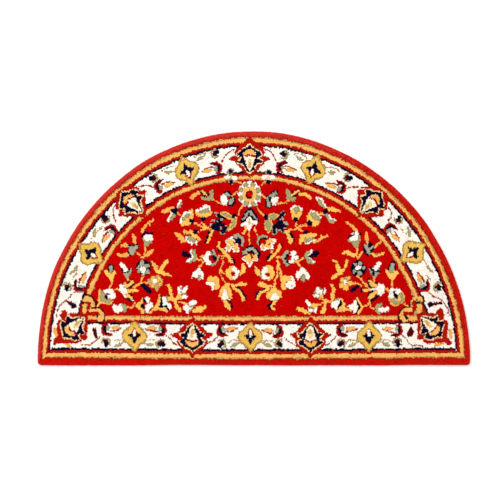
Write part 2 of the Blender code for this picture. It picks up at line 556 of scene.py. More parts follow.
# Sprays of the field, left half
LEFT_SPRAYS = (
    # flower beside the rosette
    (oval, "ivory", -77, 124, 18, 31, 12),
    (oval, "navy", -67, 140, 23, 14, -14),
    (oval, "navy", -57, 121, 18, 27, -24),
    (oval, "grey", -69, 139, 17, 10, -20),
    (oval, "grey", -58, 122, 12, 20, -24),
    (line, "orange", 3.6, -56, 136, -49, 141, -44, 146),
    (line, "orange", 4, -82, 118, -93, 117, -101, 123, -109, 127),
    (line, "orange", 3.4, -29, 110, -37, 97, -41, 84),
    # sage leaf with gold leaves
    (drop, "sage", -117, 129, 13, -132, 130, 8),
    (drop, "sage", -112, 130, 14, -107, 149, 8),
    (line, "orange", 9, -161, 131, -152, 139, -141, 144),
    (oval, "amber", -129, 143, 18, 9, -28),
    (line, "navy", 4, -141, 150, -136, 142, -125, 134),
    (line, "navy", 3.6, -122, 146, -119, 140),
    # tulip near the middle
    (oval, "amber", -130, 89, 36, 18, 3),
    (leaf, "amber", -153, 95, -138, 83, 8),
    (leaf, "amber", -107, 95, -121, 83, 9),
    (line, "ivory", 7.5, -146, 98, -135, 101, -124, 108, -116, 107, -114, 100),
    (oval, "sage", -131, 95, 26, 9, 12),
    (leaf, "sage", -129, 94, -118, 106, 9),
    (oval, "navy", -131, 75, 12, 9),
    (oval, "navy", -125, 78, 5, 5),
    (oval, "orange", -134, 66, 7, 6),
    (line, "amber", 4.5, -132, 65, -124, 56, -113, 49),
    (line, "orange", 4.2, -155, 67, -147, 61, -138, 57, -128, 54),
    (oval, "amber", -126, 53, 16, 9, -15),
    (line, "orange", 3, -138, 47, -126, 49, -108, 49),
    # tulip farther out
    (oval, "amber", -171, 76, 24, 28, 20),
    (drop, "amber", -164, 90, 17, -168, 70, 14),
    (line, "amber", 9, -168, 66, -184, 62),
    (leaf, "amber", -160, 103, -158, 80, 8),
    (line, "ivory", 8.5, -165, 94, -177, 90, -186, 79, -187, 67),
    (oval, "sage", -172, 84, 11, 15, -30),
    (oval, "sage", -182, 76, 8, 12),
    (oval, "navy", -160, 71, 15, 8, -15),
    (oval, "navy", -158, 66, 6, 7),
    # cross of leaves with a navy heart
    (leaf, "orange", -241, 92, -203, 104, 13, 1),
    (line, "ivory", 9, -197, 106, -189, 121),
    (line, "sage", 6, -192, 107, -187, 118),
    (line, "ivory", 7, -212, 91, -221, 69),
    (line, "sage", 8, -206, 88, -212, 77),
    (line, "orange", 3.6, -197, 93, -192, 88, -184, 86),
    (oval, "navy", -206, 97, 17, 10, 8),
    (oval, "navy", -201, 98, 9, 14),
    # navy flower
    (leaf, "grey", -104, 93, -80, 79, 12),
    (leaf, "navy", -98, 88, -71, 77, 12),
    (oval, "grey", -105, 71, 10, 7),
    (oval, "grey", -110, 60, 9, 11),
    (oval, "navy", -90, 66, 20, 21),
    (leaf, "navy", -112, 59, -84, 51, 16),
    (oval, "navy", -91, 51, 15, 13),
    (oval, "grey", -77, 47, 15, 25, -28),
    (oval, "navy", -77, 48, 11, 20, -28),
    (oval, "navy", -80, 61, 10, 10),
    (oval, "grey", -95, 70, 6, 5),
    (oval, "grey", -84, 76, 9, 4),
    (line, "grey", 2.6, -88, 57, -84, 47),
    # sage leaves with gold edges
    (leaf, "sage/amber", -84, 92, -56, 78, 10),
    (leaf, "sage/amber", -49, 82, -64, 48, 10, 4),
    (oval, "navy", -51, 84, 14, 8, 38),
    (oval, "orange", -41, 88, 4, 7, -10),
    # half-open flower
    (line, "orange", 8, -178, 42, -164, 41, -150, 34, -141, 22),
    (oval, "amber", -153, 33, 22, 13, -45),
    (line, "ivory", 7, -175, 28, -171, 18, -160, 14, -149, 17),
    (line, "ivory", 5, -160, 14, -158, 9),
    (line, "ivory", 5, -149, 16, -149, 10),
    (oval, "sage", -162, 25, 21, 13, -14),
    (oval, "sage", -154, 19, 8, 9),
    (oval, "navy", -151, 43, 13, 10),
    (oval, "orange", -143, 43, 4, 7),
    (leaf, "orange", -205, 41, -176, 18, 12),
    (line, "orange", 5, -187, 18, -177, 19),
    # leaf with a navy shadow
    (line, "navy", 4, -114, 42, -121, 30, -123, 16),
    (line, "amber", 6, -105, 46, -112, 35, -116, 24, -119, 15),
    # flower with gold petals
    (line, "grey", 7.5, -50, 31, -39, 34, -31, 28, -29, 16, -31, 7),
    (oval, "grey", -46, 28, 12, 8),
    (line, "navy", 6, -49, 23, -42, 20, -35, 12),
    (oval, "navy", -38, 24, 7, 10),
    (oval, "navy", -44, 19, 13, 8, -20),
    (oval, "ivory", -61, 17, 26, 19, -8),
    (oval, "ivory", -65, 1, 17, 21, -28),
    (oval, "ivory", -47, 2, 18, 28, 14),
    (oval, "ivory", -56, 27, 10, 8),
    (oval, "amber", -61, 17, 18, 11, -8),
    (oval, "amber", -65, 2, 9, 13, -28),
    (oval, "amber", -47, 3, 10, 19, 14),
    (oval, "amber", -56, 11, 12, 10),
    (oval, "brick", -51, 14, 6, 8),
    # leaves below it
    (line, "amber", 5.5, -88, 15, -92, 6, -86, -1),
    (line, "navy", 4, -93, -4, -86, -9, -79, -13),
    (line, "navy", 5, -62, -22, -53, -28, -49, -38),
    (line, "amber", 8.5, -86, -1, -76, -10, -66, -22, -57, -35),
    (line, "orange", 3.2, -78, -19, -89, -20),
    # flower with a red eye
    (oval, "ivory", -116, -14, 18, 15),
    (oval, "ivory", -124, -25, 17, 20),
    (oval, "ivory", -117, -38, 17, 14, 15),
    (oval, "grey", -105, -12, 12, 14, -20),
    (oval, "navy", -108, -9, 4, 5),
    (line, "tan", 4, -98, -17, -89, -22),
    (line, "grey", 5, -108, -42, -98, -36, -91, -27),
    (oval, "brick", -112, -24, 12, 8),
    (oval, "navy", -99, -26, 12, 9, -20),
    (oval, "navy", -105, -20, 7, 6),
    (line, "orange", 4, -138, -21, -130, -20),
    # half flower behind it
    (line, "sage", 8, -157, -5, -152, -16, -152, -27, -164, -34),
    (line, "ivory", 6, -161, -5, -162, -12, -157, -21, -163, -28, -172, -34),
    (drop, "navy", -179, -14, 14, -163, -21, 8),
    (line, "orange", 4.2, -149, -26, -142, -30, -134, -29),
    (line, "orange", 4.6, -128, -32, -134, -41, -142, -48),
    # hanging tulip
    (drop, "ivory", -142, -55, 11, -144, -64, 29),
    (leaf, "ivory", -150, -60, -160, -76, 11),
    (leaf, "ivory", -137, -60, -131, -79, 12),
    (drop, "sage", -142, -72, 9, -142, -81, 3),
    # vine to the ring flower
    (line, "orange", 3.8, -76, -18, -80, -27, -80, -38, -85, -49, -88, -57),
    (oval, "amber", -86, -57, 9, 8),
    (line, "orange", 3.6, -88, -60, -88, -66),
    (line, "orange", 3.6, -83, -59, -75, -65),
    (line, "orange", 2.8, -86, -70, -80, -80, -73, -89),
    (oval, "amber", -56, -64, 34, 36),
    (line, "ivory", 13, -51, -52, -43, -61, -50, -74),
    (oval, "red/brick", -53, -65, 6, 6),
    (leaf, "amber", -28, -38, -36, -72, 12, 4),
    # gold square flower
    (line, "amber", 17, -111, -81, -99, -81, -98, -98),
    (oval, "ivory", -112, -91, 24, 12, -5),
    (drop, "ivory", -107, -95, 12, -108, -108, 6),
    # fan with an ivory heart
    (leaf, "amber", -74, -94, -90, -124, 9),
    (leaf, "amber", -69, -92, -58, -135, 11),
    (drop, "amber", -72, -92, 5, -74, -120, 25),
    (drop, "ivory", -75, -108, 7, -75, -125, 20),
    (oval, "ivory", -71, -130, 18, 8, -12),
    (line, "navy", 4, -70, -134, -59, -138, -57, -149, -61, -157),
    (leaf, "amber", -78, -132, -62, -158, 13),
    (line, "amber", 5, -68, -92, -54, -96, -42, -94),
    (line, "amber", 9.5, -42, -94, -32, -91, -23, -91),
    (line, "navy", 6, -45, -102, -33, -110, -25, -119, -22, -129),
    (line, "amber", 7.5, -54, -98, -44, -107, -34, -115, -29, -126, -26, -134),
    # gold bud at the end of the field
    (drop, "amber", -370, -63, 26, -366, -86, 5),
    (oval, "amber", -381, -60, 11, 12),
    (oval, "amber", -360, -62, 9, 10),
    (oval, "navy", -369, -51, 16, 20),
    (oval, "grey", -369, -53, 9, 18),
    (oval, "sage", -369, -61, 8, 8),
    (line, "orange", 4.2, -366, -86, -368, -94, -373, -103),
    # grey leaf
    (drop, "sage", -331, -62, 13, -327, -78, 4),
    (leaf, "grey", -315, -50, -328, -77, 10, -2),
    (oval, "navy", -337, -58, 13, 6, -20),
    (oval, "navy", -325, -57, 9, 6, 40),
    (line, "ivory", 12.5, -341, -42, -331, -54),
    (line, "orange", 4, -326, -79, -322, -86),
    # grey rosette
    (oval, "navy", -285, -50, 38, 40),
    (oval, "grey", -288, -38, 12, 16),
    (oval, "grey", -276, -45, 13, 12, 30),
    (oval, "grey", -298, -53, 7, 18),
    (oval, "grey", -277, -61, 20, 12, 15),
    (oval, "grey", -295, -60, 9, 8),
    (oval, "ivory", -286, -53, 19, 15),
    (drop, "ivory", -286, -56, 11, -287, -66, 5),
    (line, "orange", 4, -287, -68, -288, -77, -291, -88),
    (line, "orange", 4.6, -310, -99, -300, -94, -291, -88, -275, -89),
    # flower with gold fingers
    (line, "navy", 9, -328, -101, -314, -92),
    (line, "navy", 4, -323, -87, -314, -83, -310, -89),
    (line, "navy", 8, -331, -122, -317, -134),
    (line, "navy", 5, -319, -118, -312, -131),
    (oval, "ivory", -338, -101, 20, 20),
    (drop, "ivory", -336, -106, 18, -331, -124, 9),
    (oval, "ivory", -345, -104, 8, 9),
    (oval, "grey", -333, -91, 9, 7),
    (line, "amber", 9, -331, -98, -322, -94, -315, -88),
    (line, "amber", 10, -324, -111, -312, -109, -303, -109),
    (line, "amber", 8.5, -330, -119, -322, -124, -316, -130),
    (oval, "ivory", -313, -133, 6, 6),
    # square flower at the end
    (line, "amber", 10, -396, -110, -397, -139, -368, -139),
    (line, "amber", 5, -398, -142, -406, -149),
    (line, "sage", 11, -391, -114, -391, -132, -372, -134),
    (oval, "ivory", -374, -111, 28, 17),
    (oval, "ivory", -366, -121, 18, 22),
    (oval, "ivory", -377, -121, 12, 14),
    (line, "navy", 3.8, -372, -120, -378, -117, -381, -122, -380, -129),
    (line, "orange", 4, -360, -109, -353, -103, -347, -109),
    # navy leaf
    (drop, "navy", -288, -95, 7, -271, -109, 13),
    (oval, "navy", -267, -111, 8, 6),
    # ivory leaves low on the left
    (leaf, "ivory", -366, -147, -334, -158, 20, -5),
    (oval, "ivory", -345, -153, 16, 20),
    (leaf, "sage", -342, -143, -333, -166, 12, 5),
    (line, "orange", 4.2, -327, -150, -317, -153, -310, -149, -307, -139),
    # flower with a gold back
    (line, "amber", 8, -287, -131, -291, -142, -302, -148),
    (line, "amber", 10, -298, -151, -290, -156, -287, -165),
    (oval, "ivory", -275, -133, 13, 18),
    (oval, "ivory", -268, -147, 18, 19),
    (drop, "ivory", -275, -152, 14, -274, -164, 10),
    (oval, "navy", -287, -148, 9, 11),
    (line, "navy", 3, -282, -152, -280, -162),
    (line, "navy", 3, -283, -130, -281, -139),
    (line, "orange", 6, -267, -165, -255, -155),
    # three-pronged gold leaf, with the ring flower under it
    (leaf, "orange", -264, -30, -247, -62, 10),
    (drop, "amber", -224, -32, 8, -242, -58, 11),
    (drop, "amber", -243, -60, 12, -214, -71, 5),
    (oval, "amber", -246, -60, 14, 12),
    (oval, "amber/tan", -253, -87, 33, 28),
    (leaf, "tan", -252, -84, -250, -111, 13),
    (oval, "tan", -270, -83, 9, 8),
    (oval, "olive", -252, -75, 9, 7),
    (oval, "olive", -241, -86, 8, 9),
    (oval, "tan", -264, -90, 8, 9),
    (oval, "ivory", -255, -84, 13, 13),
    # branch of gold leaves
    (line, "amber", 8, -222, -96, -215, -108, -213, -125),
    (line, "amber", 9, -219, -130, -205, -131, -192, -127),
    (line, "amber", 9.5, -205, -133, -200, -147, -192, -161),
    (line, "amber", 8, -241, -122, -246, -140, -254, -155),
    (line, "amber", 8, -256, -157, -236, -156, -224, -161),
    (drop, "ivory", -231, -127, 10, -226, -144, 21),
    (leaf, "ivory", -226, -141, -214, -158, 12),
    (line, "sage", 3, -226, -125, -219, -140),
    (line, "navy", 4.4, -239, -121, -238, -138, -242, -149, -228, -149, -220, -158),
    # ivory flowers low in the field
    (line, "ivory", 12, -191, -102, -191, -116),
    (line, "ivory", 11, -176, -102, -181, -115),
    (oval, "ivory", -186, -112, 20, 12),
    (oval, "ivory", -180, -125, 17, 10),
    (oval, "amber", -193, -123, 12, 13),
    (line, "sage", 3, -188, -100, -187, -117),
    (line, "sage", 2.4, -184, -118, -174, -119),
    (oval, "ivory", -158, -141, 22, 15, 10),
    (oval, "ivory", -170, -154, 26, 17),
    (drop, "ivory", -172, -158, 14, -170, -168, 6),
    (line, "amber", 6, -181, -141, -172, -143),
    (line, "sage", 4.5, -166, -150, -154, -149),
    (line, "sage", 3, -168, -162, -160, -158),
    (line, "orange", 4, -193, -138, -184, -142),
    (leaf, "amber", -160, -162, -122, -150, 14, -1),
    (line, "amber", 4.5, -127, -153, -126, -146),
    # spray high on the left
    (drop, "sage", -275, 18, 24, -278, 6, 5),
    (line, "ivory", 17, -277, 28, -268, 28),
    (drop, "ivory", -274, 22, 12, -274, 14, 3),
    (oval, "navy", -289, 31, 7, 9),
    (line, "navy", 3.6, -286, 37, -278, 40, -262, 38),
    (line, "orange", 4, -279, 3, -281, -8, -281, -16, -284, -27),
    (leaf, "orange", -283, -22, -256, -3, 11),
    (line, "orange", 4, -284, -27, -292, -19, -300, -11),
    (line, "orange", 6.5, -287, 43, -281, 56, -274, 65, -259, 73),
    (line, "orange", 4, -273, 66, -267, 61),
    (leaf, "orange", -313, 39, -304, 11, 10),
    (oval, "navy", -322, 6, 9, 9),
    (oval, "navy", -321, -14, 10, 12),
    (oval, "navy", -300, 3, 8, 15),
    (oval, "navy", -311, 6, 8, 8),
    (drop, "grey", -316, 1, 13, -314, -15, 8),
    (oval, "grey", -304, 3, 9, 12),
    (oval, "grey", -311, -5, 12, 12),
    (leaf, "orange", -346, 6, -322, 4, 11, 4),
    (line, "orange", 9, -350, -16, -340, -18, -326, -16),
)

# The middle of the field
ROSETTE_CENTRE = (-11, 140)


def petal_ring(yarn, count, first_angle, reach_x, reach_y, width, height):
    """Ovals at even steps on an ellipse round the rosette's middle, each turned outwards."""
    angles = np.linspace(0, 2 * pi, count, endpoint=False) + first_angle
    x = ROSETTE_CENTRE[0] + reach_x * np.cos(angles)
    y = ROSETTE_CENTRE[1] + reach_y * np.sin(angles)
    return [(oval, yarn, *place, width, height, turn) for *place, turn in zip(x, y, np.degrees(angles))]


ROSETTE = (
    *petal_ring("ivory", 12, 0, 26, 29, 13, 13),
    (oval, "ivory", *ROSETTE_CENTRE, 58, 63),
    *petal_ring("sage", 8, pi / 8, 23.5, 26, 13, 14),
    (oval, "gold", *ROSETTE_CENTRE, 37, 43),
    (oval, "maroon", ROSETTE_CENTRE[0] - 1, ROSETTE_CENTRE[1] - 1, 17, 23),
    (oval, "red", *ROSETTE_CENTRE, 10, 14),
)
MIDDLE_FLOWERS = (
    (line, "navy", 15.5, -26, 73, -20, 84, -10, 95, 0, 84, 5, 73),
    (oval, "navy", -10, 102, 6, 8),
    (line, "grey", 8.5, -26, 74, -19, 84, -10, 95, -1, 84, 5, 74),
    (line, "navy", 5, -26, 71, -18, 79, -11, 86, -3, 78, 6, 71),
    (leaf, "ivory", -12, 84, -12, 44, 20),
    (line, "ivory", 11, -25, 62, -14, 66, 5, 66),
    (oval, "ivory", -29, 59, 8, 9),
    (oval, "amber", -12, 70, 6, 16),
    (drop, "amber", -22, 55, 9, -22, 47, 5),
    (line, "amber", 4, -22, 47, -29, 37),
    (line, "orange", 4, 2, 54, 5, 42, 9, 31),
    (line, "orange", 3.8, -12, 45, -12, 24, -11, 8),
    (line, "navy", 15, -24, -11, -14, -3, -7, 1, 2, -7, 10, -16),
    (line, "grey", 8.5, -25, -11, -15, -4, -7, 1, 1, -6, 9, -14),
    (oval, "grey", -22, -12, 15, 10, 20),
    (oval, "navy", -7, -9, 9, 8),
    (oval, "navy", -22, -19, 7, 4),
    (oval, "navy", 12, -20, 6, 8),
    (oval, "ivory", -10, -26, 42, 19),
    (drop, "ivory", -11, -30, 27, -11, -46, 8),
    (line, "amber", 9, -20, -25, -13, -21, 3, -21),
    (oval, "amber", -20, -25, 13, 12),
    (oval, "amber", 1, -24, 13, 11),
    (drop, "amber", -11, -28, 18, -11, -40, 6),
    (line, "brick", 5, -6, -16, -6, -24),
)

# The right half of the field follows the left one turned over, but each flower has its own hand
RIGHT_SPRAYS = (
    # flower beside the rosette
    (line, "navy", 15, 56, 144, 43, 132),
    (line, "navy", 16, 37, 128, 39, 111),
    (line, "grey", 8, 55, 143, 42, 131),
    (line, "grey", 9, 36, 127, 38, 110),
    (oval, "navy", 41, 126, 9, 9),
    (oval, "ivory", 53, 121, 19, 20),
    (oval, "ivory", 58, 129, 12, 10),
    (line, "orange", 4.5, 58, 117, 83, 117),
    (line, "orange", 4.5, 21, 139, 29, 131),
    # sage leaf with gold leaves
    (drop, "sage", 87, 148, 9, 91, 132, 17),
    (line, "sage", 13, 93, 130, 103, 127),
    (oval, "orange", 88, 122, 8, 7),
    (line, "navy", 3.5, 101, 146, 109, 152, 118, 149),
    (line, "navy", 3.5, 102, 134, 112, 137, 118, 145),
    (line, "amber", 7, 99, 138, 107, 144, 114, 147),
    (line, "amber", 9, 120, 140, 129, 141, 138, 135, 145, 131),
    # upright tulip
    (drop, "amber", 109, 92, 32, 108, 80, 18),
    (line, "ivory", 6.5, 96, 101, 101, 107, 114, 108, 123, 101),
    (drop, "sage", 110, 100, 15, 110, 91, 8),
    (oval, "navy", 108, 74, 11, 11),
    (line, "orange", 5, 109, 68, 109, 54),
    (line, "orange", 4.5, 90, 47, 101, 50, 116, 50, 126, 46),
    (line, "orange", 5, 111, 52, 119, 57, 129, 60),
    # tulip farther out
    (oval, "amber", 154, 77, 36, 40),
    (line, "ivory", 6.5, 147, 96, 155, 94, 164, 87, 172, 79),
    (oval, "sage", 158, 82, 30, 16, -42),
    (oval, "navy", 144, 65, 11, 14, 35),
    (oval, "orange", 135, 61, 7, 6),
    # cross of leaves with a navy heart
    (line, "ivory", 6, 163, 128, 171, 128, 180, 117, 188, 105),
    (line, "sage", 8, 168, 123, 174, 113, 182, 105),
    (line, "amber", 9, 192, 102, 202, 102, 212, 98),
    (line, "amber", 5, 212, 98, 222, 97),
    (line, "orange", 7, 173, 90, 181, 89),
    (line, "sage", 8, 190, 85, 195, 74, 202, 68),
    (line, "ivory", 5, 195, 86, 198, 76, 209, 72),
    (oval, "navy", 185, 94, 13, 13),
    # navy flower
    (line, "grey", 11, 64, 79, 76, 91),
    (oval, "grey", 72, 74, 14, 8),
    (line, "grey", 14, 54, 50, 54, 42),
    (oval, "grey", 80, 60, 14, 16),
    (line, "grey", 9, 70, 50, 76, 44),
    (line, "navy", 7, 61, 77, 70, 86, 77, 91),
    (oval, "navy", 67, 61, 22, 24),
    (line, "navy", 9, 52, 58, 54, 42),
    (line, "navy", 5, 72, 59, 84, 58),
    (line, "navy", 5, 72, 52, 75, 45),
    (line, "grey", 3, 76, 64, 82, 65),
    (line, "grey", 3, 59, 51, 64, 46),
    # sage leaves with gold edges
    (leaf, "sage/amber", 34, 76, 62, 86, 13, 1),
    (leaf, "sage/amber", 35, 79, 38, 42, 14, 1),
    (oval, "navy", 31, 81, 12, 14),
    (line, "orange", 4.5, 6, 108, 14, 97, 26, 85),
    # leaf with a navy shadow
    (line, "navy", 6, 95, 39, 101, 30, 103, 18),
    (line, "amber", 8, 85, 45, 88, 34),
    (line, "amber", 10.5, 91, 30, 95, 20, 94, 16),
    # half-open flower
    (oval, "amber", 142, 33, 40, 14, 8),
    (drop, "amber", 124, 31, 14, 118, 12, 4),
    (line, "amber", 9, 124, 30, 128, 20),
    (oval, "sage", 143, 22, 28, 10, 12),
    (line, "ivory", 6, 134, 13, 142, 13),
    (line, "ivory", 4.5, 142, 15, 150, 18, 160, 22),
    (line, "orange", 6, 153, 16, 165, 19, 174, 27, 188, 33),
    (line, "orange", 4, 172, 28, 174, 36),
    (oval, "navy", 133, 41, 15, 10, 20),
    # flower with gold petals
    (line, "sage", 8, 11, 14, 13, 25, 22, 31, 33, 29),
    (line, "navy", 5, 14, 12, 17, 23, 29, 25),
    (oval, "ivory", 46, 19, 25, 15, -5),
    (oval, "ivory", 24, 2, 15, 21, 20),
    (oval, "ivory", 41, 3, 21, 16, 20),
    (oval, "amber", 41, 19, 21, 9),
    (oval, "amber", 23, 5, 9, 15, 15),
    (oval, "amber", 39, 4, 13, 10, 20),
    (oval, "amber", 33, 12, 10, 12),
    (oval, "red", 21, 18, 13, 8),
    (oval, "brick", 29, 14, 5, 8),
    # leaves below it
    (line, "navy", 4, 71, 10, 71, 3),
    (line, "navy", 5, 44, -16, 37, -24, 35, -32),
    (line, "amber", 5, 66, 13, 66, 2),
    (line, "amber", 7.5, 66, 2, 60, -9, 52, -16),
    (line, "amber", 7, 52, -16, 45, -23, 39, -31),
    (line, "orange", 5, 44, -7, 50, -14),
    (line, "orange", 5, 58, -24, 74, -23),
    # flower with a red eye
    (line, "grey", 9, 87, -8, 80, -17, 77, -25, 82, -36, 86, -41),
    (oval, "ivory", 101, -12, 18, 12, 30),
    (oval, "ivory", 107, -24, 20, 13),
    (oval, "ivory", 98, -35, 18, 11, -10),
    (line, "ivory", 8, 99, -14, 100, -32),
    (oval, "red", 91, -24, 13, 11),
    (line, "navy", 5, 87, -18, 82, -25, 89, -37),
    (oval, "sage", 107, -16, 5, 6),
    (line, "amber", 6, 106, -34, 115, -33),
    # half flower behind it
    (line, "sage", 8.5, 144, -8, 136, -15, 134, -23, 142, -32, 152, -36),
    (line, "ivory", 5, 148, -4, 147, -11, 140, -19, 145, -27, 156, -36),
    (leaf, "navy", 141, -22, 170, -9, 14),
    (line, "orange", 5, 114, -34, 127, -26),
    (line, "orange", 5, 114, -37, 119, -45, 123, -52),
    # hanging tulip
    (drop, "ivory", 123, -51, 9, 125, -64, 28),
    (leaf, "ivory", 117, -56, 114, -80, 14),
    (leaf, "ivory", 133, -58, 141, -82, 14),
    (oval, "sage", 127, -76, 12, 21),
    # vine and bud
    (line, "amber", 7, 62, -33, 63, -52),
    (line, "orange", 4.5, 60, -54, 60, -72, 55, -83, 53, -98),
    (line, "orange", 5.5, 67, -53, 69, -64, 70, -76),
    (leaf, "amber", 4, -47, 21, -74, 12, -3),
    (line, "sage", 4, 16, -62, 19, -78),
    (oval, "amber", 38, -62, 31, 40),
    (line, "ivory", 14, 30, -54, 26, -63, 26, -75),
    (leaf, "ivory", 24, -77, 42, -75, 8),
    (oval, "brick", 34, -67, 14, 8),
    # gold square flower
    (line, "amber", 14, 77, -78, 92, -79),
    (line, "amber", 12, 76, -78, 77, -101),
    (oval, "ivory", 95, -94, 25, 21),
    (line, "ivory", 9, 98, -74, 101, -86),
    (oval, "sage", 98, -97, 3, 8),
    # fan with an ivory heart
    (drop, "amber", 53, -103, 10, 52, -116, 34),
    (leaf, "amber", 46, -108, 32, -130, 13),
    (leaf, "amber", 60, -107, 71, -127, 12),
    (drop, "ivory", 53, -119, 10, 53, -125, 24),
    (oval, "ivory", 48, -130, 17, 8),
    (oval, "ivory", 60, -125, 14, 8),
    (line, "navy", 7, 48, -138, 42, -143, 39, -150, 43, -156),
    (line, "amber", 8, 56, -136, 51, -142, 46, -149),
    (line, "amber", 7, 46, -149, 48, -154, 52, -156),
    (line, "amber", 12, 15, -92, 24, -94, 34, -99),
    (line, "amber", 6, 34, -99, 46, -97),
    (line, "navy", 7, 27, -106, 15, -111, 8, -118, 7, -128),
    (line, "amber", 7.5, 39, -104, 27, -110, 16, -116, 11, -124, 10, -129),
    # gold bud at the end of the field
    (drop, "navy", 358, -37, 11, 356, -57, 23),
    (drop, "amber", 356, -67, 26, 357, -84, 5),
    (oval, "amber", 344, -61, 13, 10, -40),
    (oval, "amber", 367, -62, 11, 11),
    (drop, "grey", 358, -38, 5, 355, -54, 11),
    (oval, "sage", 355, -60, 10, 9),
    (line, "orange", 5, 357, -84, 356, -99),
    # grey leaf
    (drop, "grey", 313, -60, 23, 311, -77, 5),
    (line, "grey", 6, 298, -52, 306, -66),
    (line, "navy", 4.5, 302, -49, 308, -58, 309, -69),
    (line, "navy", 4, 309, -60, 324, -56),
    (line, "ivory", 11.5, 323, -38, 313, -52),
    (line, "orange", 5, 310, -77, 311, -87),
    # grey rosette
    (oval, "navy", 269, -52, 39, 42),
    (oval, "grey", 261, -41, 10, 10),
    (oval, "grey", 274, -39, 10, 9),
    (oval, "grey", 283, -51, 7, 12),
    (oval, "grey", 273, -64, 12, 13),
    (oval, "grey", 259, -60, 12, 9, 20),
    (oval, "ivory", 268, -51, 17, 12, 20),
    (line, "orange", 4.5, 267, -71, 276, -79, 283, -88, 294, -99),
    (line, "orange", 7, 284, -90, 290, -96),
    # flower with gold fingers
    (line, "navy", 9, 296, -82, 299, -93, 307, -102),
    (line, "navy", 7, 312, -109, 305, -114, 297, -119),
    (line, "navy", 6, 318, -125, 309, -130, 303, -136),
    (line, "navy", 4, 277, -105, 277, -111),
    (oval, "navy", 315, -89, 6, 6),
    (oval, "ivory", 326, -106, 23, 31),
    (line, "amber", 9, 299, -86, 306, -94, 315, -97),
    (line, "amber", 6.5, 283, -108, 302, -107),
    (line, "ivory", 6, 303, -106, 316, -105),
    (line, "amber", 9, 316, -113, 307, -119, 299, -126),
    (line, "orange", 4.5, 299, -130, 299, -142, 301, -152, 310, -155),
    (line, "orange", 4.5, 298, -142, 290, -147, 281, -150),
    # square flower at the end
    (oval, "orange", 368, -127, 43, 42),
    (oval, "sage", 369, -127, 35, 35),
    (oval, "ivory", 356, -116, 17, 32),
    (oval, "ivory", 370, -110, 19, 15),
    (oval, "ivory", 363, -120, 20, 18),
    (line, "amber", 4.5, 373, -121, 376, -134, 366, -133),
    (line, "navy", 5, 361, -112, 364, -120),
    (oval, "navy", 367, -123, 10, 10),
    (line, "orange", 5, 338, -105, 345, -107, 349, -112),
    (line, "orange", 4, 388, -143, 396, -150),
    # navy leaf
    (leaf, "navy", 274, -94, 247, -113, 10),
    # ivory leaves low on the right
    (line, "sage", 9, 327, -146, 317, -151, 316, -160, 323, -165),
    (oval, "ivory", 331, -158, 24, 14),
    (line, "ivory", 9, 338, -161, 346, -154),
    # flower with a gold back
    (line, "amber", 8, 266, -130, 271, -140, 279, -150, 273, -158, 270, -167),
    (line, "navy", 3.5, 262, -133, 268, -142, 273, -150, 268, -158, 265, -166),
    (oval, "navy", 272, -150, 6, 8),
    (leaf, "ivory", 261, -131, 259, -169, 15),
    (leaf, "ivory", 241, -149, 271, -151, 14),
    # three-pronged gold leaf, with the ring flower under it
    (line, "amber", 7, 204, -33, 210, -32, 214, -38),
    (line, "amber", 10, 215, -42, 219, -56, 226, -62),
    (line, "amber", 6.5, 241, -32, 236, -45, 230, -57),
    (line, "amber", 9, 226, -62, 213, -67, 204, -75),
    (oval, "olive", 235, -88, 27, 26),
    (oval, "amber", 243, -77, 12, 11),
    (oval, "amber", 249, -89, 14, 12),
    (oval, "amber", 227, -81, 10, 12),
    (oval, "amber", 226, -96, 13, 13),
    (leaf, "amber", 238, -92, 238, -111, 13),
    (oval, "ivory", 236, -87, 11, 12),
    (line, "orange", 4, 252, -88, 267, -91, 277, -96),
    # branch of gold leaves
    (line, "amber", 9, 201, -96, 206, -107, 204, -120, 201, -133),
    (line, "orange", 6, 190, -136, 206, -137),
    (oval, "amber", 185, -135, 12, 13),
    (line, "amber", 8.5, 185, -140, 182, -153, 177, -164),
    (line, "orange", 4.5, 183, -132, 171, -132),
    (line, "orange", 4.5, 181, -139, 173, -143),
    # fan-shaped ivory flower
    (oval, "sage", 168, -115, 29, 28),
    (oval, "ivory", 166, -108, 13, 20, 25),
    (oval, "ivory", 161, -122, 18, 11, -8),
    (oval, "ivory", 182, -111, 8, 19, -15),
    (oval, "ivory", 174, -113, 6, 16, -10),
    (oval, "amber", 174, -124, 10, 9),
    # ivory flower low in the field, and the leaf beside it
    (line, "ivory", 10, 137, -138, 146, -146),
    (oval, "amber", 156, -148, 17, 14),
    (line, "amber", 6, 160, -145, 171, -144),
    (oval, "sage", 147, -152, 9, 5),
    (oval, "ivory", 145, -159, 15, 12),
    (oval, "ivory", 159, -160, 11, 14),
    (oval, "sage", 153, -157, 5, 6),
    (line, "amber", 10, 114, -155, 124, -160, 134, -165),
    (line, "amber", 6, 134, -165, 144, -168),
    # ivory flower before a gold triangle
    (line, "amber", 7, 226, -132, 230, -143, 233, -155),
    (line, "amber", 13, 229, -147, 227, -155),
    (line, "amber", 6, 213, -161, 226, -161, 236, -158, 252, -158),
    (drop, "ivory", 221, -133, 8, 211, -145, 23),
    (oval, "sage", 214, -131, 15, 5, 20),
    (line, "navy", 5, 223, -137, 222, -146, 217, -152),
    (oval, "navy", 205, -155, 8, 4),
    # spray high on the right
    (line, "orange", 6, 241, 69, 247, 62),
    (line, "orange", 8.5, 248, 60, 257, 54, 266, 46),
    (oval, "sage", 259, 20, 32, 10),
    (drop, "sage", 262, 15, 21, 266, 3, 6),
    (line, "sage", 5, 272, 32, 273, 20),
    (leaf, "ivory", 246, 20, 269, 43, 20),
    (oval, "ivory", 263, 29, 14, 20),
    (line, "navy", 5, 245, 27, 259, 39),
    (oval, "navy", 273, 37, 5, 6),
    (line, "orange", 6, 266, 1, 265, -16, 268, -26),
    (line, "amber", 7, 232, -11, 243, -9),
    (line, "amber", 10, 243, -12, 254, -17, 263, -15),
